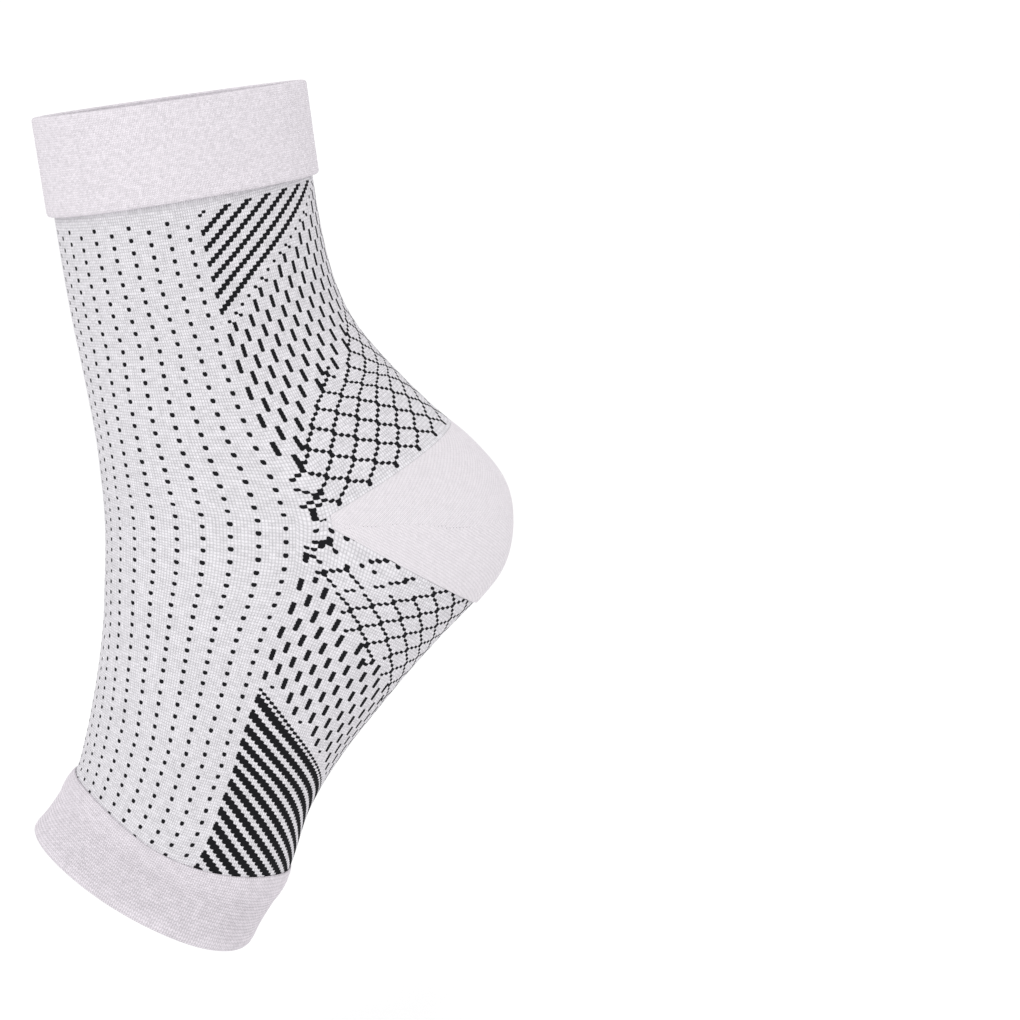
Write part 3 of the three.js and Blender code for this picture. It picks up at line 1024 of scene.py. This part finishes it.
class SOCK_OT_knitted_body(Operator):
    """Knits the body with its black pattern"""

    bl_idname = "sock.knitted_body"
    bl_label = "Knitted body"

    def execute(self, context):
        sizes = context.scene.sock_sizes
        colours = context.scene.sock_colours
        material = knit_material(
            "body_knit_yarn", colours.body, furrow_shade_colour(colours.body, 0.5), slant=0.0,
            depth=0.00022, mottle=0.2, speckle=0.25, black=colours.black,
        )
        piece = knitted_body(sizes, material)
        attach(piece, "root")
        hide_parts("knit_body")
        return {"FINISHED"}


class SOCK_OT_heel_pocket(Operator):
    """Knits the plain heel pocket"""

    bl_idname = "sock.heel_pocket"
    bl_label = "Heel pocket"

    def execute(self, context):
        sizes = context.scene.sock_sizes
        colours = context.scene.sock_colours
        material = knit_material(
            "heel_knit_yarn", colours.heel, furrow_shade_colour(colours.heel, 0.68), slant=0.3,
            depth=0.00012, mottle=0.12, speckle=0.15, black=colours.black,
        )
        piece = heel_pocket(sizes, material)
        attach(piece, "root")
        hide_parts("heel_pocket")
        return {"FINISHED"}


class SOCK_OT_top_cuff(Operator):
    """Knits the folded welt at the top"""

    bl_idname = "sock.top_cuff"
    bl_label = "Top cuff"

    def execute(self, context):
        sizes = context.scene.sock_sizes
        colours = context.scene.sock_colours
        material = knit_material(
            "cuff_knit_yarn", colours.cuff, furrow_shade_colour(colours.cuff, 0.52), slant=0.6,
            depth=0.00016, mottle=0.25, speckle=0.25,
        )
        piece = welt(
            "top_cuff_welt", cuff_outline(sizes), around=336, ribs_per_wale=1, rib=0.0, sag=0.0,
            material=material, fine=(1.5, 1.6),
        )
        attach(piece, "root")
        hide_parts("top_cuff")
        return {"FINISHED"}


class SOCK_OT_toe_band(Operator):
    """Knits the ribbed band round the toe opening"""

    bl_idname = "sock.toe_band"
    bl_label = "Toe band"

    def execute(self, context):
        sizes = context.scene.sock_sizes
        colours = context.scene.sock_colours
        material = knit_material(
            "band_rib_yarn", colours.band, furrow_shade_colour(colours.band, 0.5), slant=0.6,
            depth=0.00015, mottle=0.2, speckle=0.2,
        )
        piece = welt(
            "toe_band_rib", band_outline(sizes), around=sizes.band_columns, ribs_per_wale=2,
            rib=sizes.band_rib / MM, sag=sizes.band_sag / MM, material=material, fine=(1.0, 1.3),
        )
        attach(piece, "root")
        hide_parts("toe_band")
        return {"FINISHED"}


class SOCK_OT_studio(Operator):
    """Sets up the floor, the soft lights and the camera"""

    bl_idname = "sock.studio"
    bl_label = "Studio"

    def execute(self, context):
        scene = context.scene
        bm = bmesh.new()
        bmesh.ops.create_grid(bm, x_segments=1, y_segments=1, size=FLOOR_REACH)
        for vert in bm.verts:
            vert.co.z = FLOOR_HEIGHT
        material = bpy.data.materials.new("studio_floor")
        material.use_nodes = True
        surface = material.node_tree.nodes["Principled BSDF"]
        surface.inputs["Base Color"].default_value = (*scene.sock_colours.floor, 1)
        surface.inputs["Roughness"].default_value = 0.9
        floor = new_piece(bm, "studio_floor", material)
        world = bpy.data.worlds.new("studio_light")
        world.use_nodes = True
        sky = world.node_tree.nodes["Background"]
        sky.inputs["Color"].default_value = (1, 1, 1, 1)
        sky.inputs["Strength"].default_value = DAYLIGHT
        scene.world = world
        scene.view_settings.view_transform = "Standard"
        lamp("key_light", place=(-0.8, -1.2, 0.9), target=(0, 0, 0), size=0.6, power=4.0)
        camera = bpy.data.objects.new("photo_camera", bpy.data.cameras.new("photo_camera"))
        camera.location = CAMERA_PLACE
        camera.rotation_euler = (np.radians(CAMERA_TILT), 0.0, np.radians(CAMERA_TURN))
        camera.data.sensor_width = 36.0
        camera.data.lens = CAMERA_LENS
        scene.collection.objects.link(camera)
        scene.camera = camera
        return {"FINISHED"}


def lamp(name, place, target, size, power):
    """A soft square light that faces a point."""
    light = bpy.data.lights.new(name, "AREA")
    light.shape = "SQUARE"
    light.size = size
    light.energy = power
    lamp_object = bpy.data.objects.new(name, light)
    lamp_object.location = place
    way = Vector(target) - Vector(place)
    lamp_object.rotation_euler = way.to_track_quat("-Z", "Y").to_euler()
    bpy.context.scene.collection.objects.link(lamp_object)


class SOCK_PT_pieces(Panel):
    """Lists the pieces of the sock and their settings"""

    bl_idname = "SOCK_PT_pieces"
    bl_label = "Compression sock"
    bl_space_type = "VIEW_3D"
    bl_region_type = "UI"
    bl_category = "Sock"

    def draw(self, context):
        layout = self.layout
        for operator in OPERATORS:
            layout.operator(operator.bl_idname)
        for settings in (context.scene.sock_sizes, context.scene.sock_colours):
            box = layout.box()
            for name in type(settings).__annotations__:
                box.prop(settings, name)


OPERATORS = (
    SOCK_OT_knitted_body,
    SOCK_OT_heel_pocket,
    SOCK_OT_top_cuff,
    SOCK_OT_toe_band,
    SOCK_OT_studio,
)
CLASSES = (SockSizes, SockColours) + OPERATORS + (SOCK_PT_pieces,)


def register():
    """Adds the classes and the settings to Blender."""
    for cls in CLASSES:
        bpy.utils.register_class(cls)
    bpy.types.Scene.sock_sizes = PointerProperty(type=SockSizes)
    bpy.types.Scene.sock_colours = PointerProperty(type=SockColours)


def unregister():
    """Removes the classes and the settings again."""
    del bpy.types.Scene.sock_colours
    del bpy.types.Scene.sock_sizes
    for cls in reversed(CLASSES):
        bpy.utils.unregister_class(cls)


def main():
    """Makes every piece of the sock."""
    register()
    bpy.ops.sock.knitted_body()
    bpy.ops.sock.heel_pocket()
    bpy.ops.sock.top_cuff()
    bpy.ops.sock.toe_band()
    bpy.ops.sock.studio()


if __name__ == "__main__":
    main()
